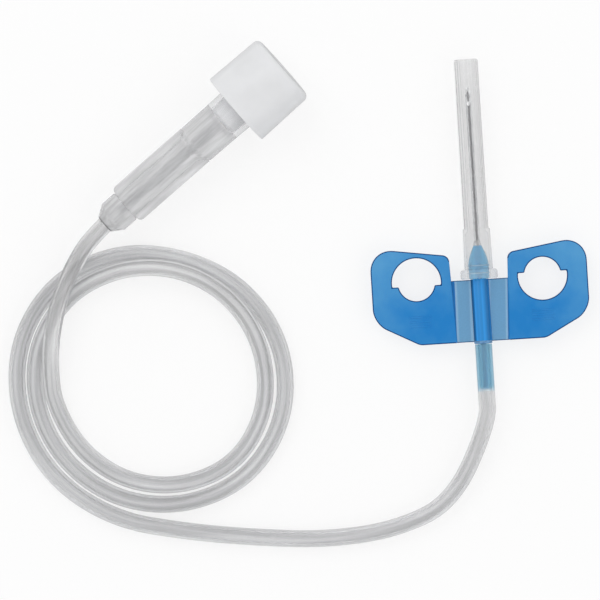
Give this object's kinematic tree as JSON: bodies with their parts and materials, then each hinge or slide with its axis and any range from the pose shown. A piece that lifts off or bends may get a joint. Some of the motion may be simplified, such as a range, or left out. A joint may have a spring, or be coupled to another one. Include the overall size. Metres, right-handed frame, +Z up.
{
  "type": "winged infusion set",
  "caption": "Winged infusion set: a sheathed steel needle in a blue hub with two folding wings, a loose coil of clear tubing and a female luer connector with a white cap.",
  "frame": {"origin": "On the floor under the middle of the needle, hub, wings and sheath together; the tubing, connector and cap are left out of that middle.", "axes": "+Y runs along the needle towards its tip, +X towards the right wing, +Z up from the floor that the set lies on."},
  "size_m": [0.0701, 0.0609, 0.0097],
  "materials": {
    "needle_steel": "ground and polished",
    "clear_adhesive": "clear, glossy",
    "hub_blue": "translucent, glossy",
    "wing_blue": "soft, satin, slightly translucent",
    "sheath_frosted": "frosted translucent",
    "tube_clear": "clear, flexible",
    "connector_clear": "clear, rigid, glossy",
    "cap_white": "moulded, satin"
  },
  "bodies": {
    "needle_set": {"needle_cannula": "needle_steel", "needle_adhesive": "clear_adhesive", "needle_hub": "hub_blue", "wing_sleeve": "wing_blue", "tubing": "tube_clear", "luer_connector": "connector_clear"},
    "wing_left": {"left_wing": "wing_blue"},
    "wing_right": {"right_wing": "wing_blue"},
    "sheath": {"needle_sheath": "sheath_frosted"},
    "cap": {"luer_cap": "cap_white"}
  },
  "joints": [
    {"name": "left_wing_fold", "type": "hinge", "parent": "needle_set", "child": "wing_left", "pos_m": [-0.0025, -0.01035, 0.00236], "axis": [0, 1, 0], "range_deg": [-8, 90], "stiffness_Nm_per_rad": 0.0002},
    {"name": "right_wing_fold", "type": "hinge", "parent": "needle_set", "child": "wing_right", "pos_m": [0.0025, -0.01035, 0.00236], "axis": [0, -1, 0], "range_deg": [-8, 90], "stiffness_Nm_per_rad": 0.0002},
    {"name": "sheath_pull", "type": "slide", "parent": "needle_set", "child": "sheath", "axis": [0, 1, 0], "range_m": [0, 0.03]},
    {"name": "cap_pull", "type": "slide", "parent": "needle_set", "child": "cap", "axis": [0.7912, 0.6093, 0.052], "range_m": [0, 0.012]}
  ]
}
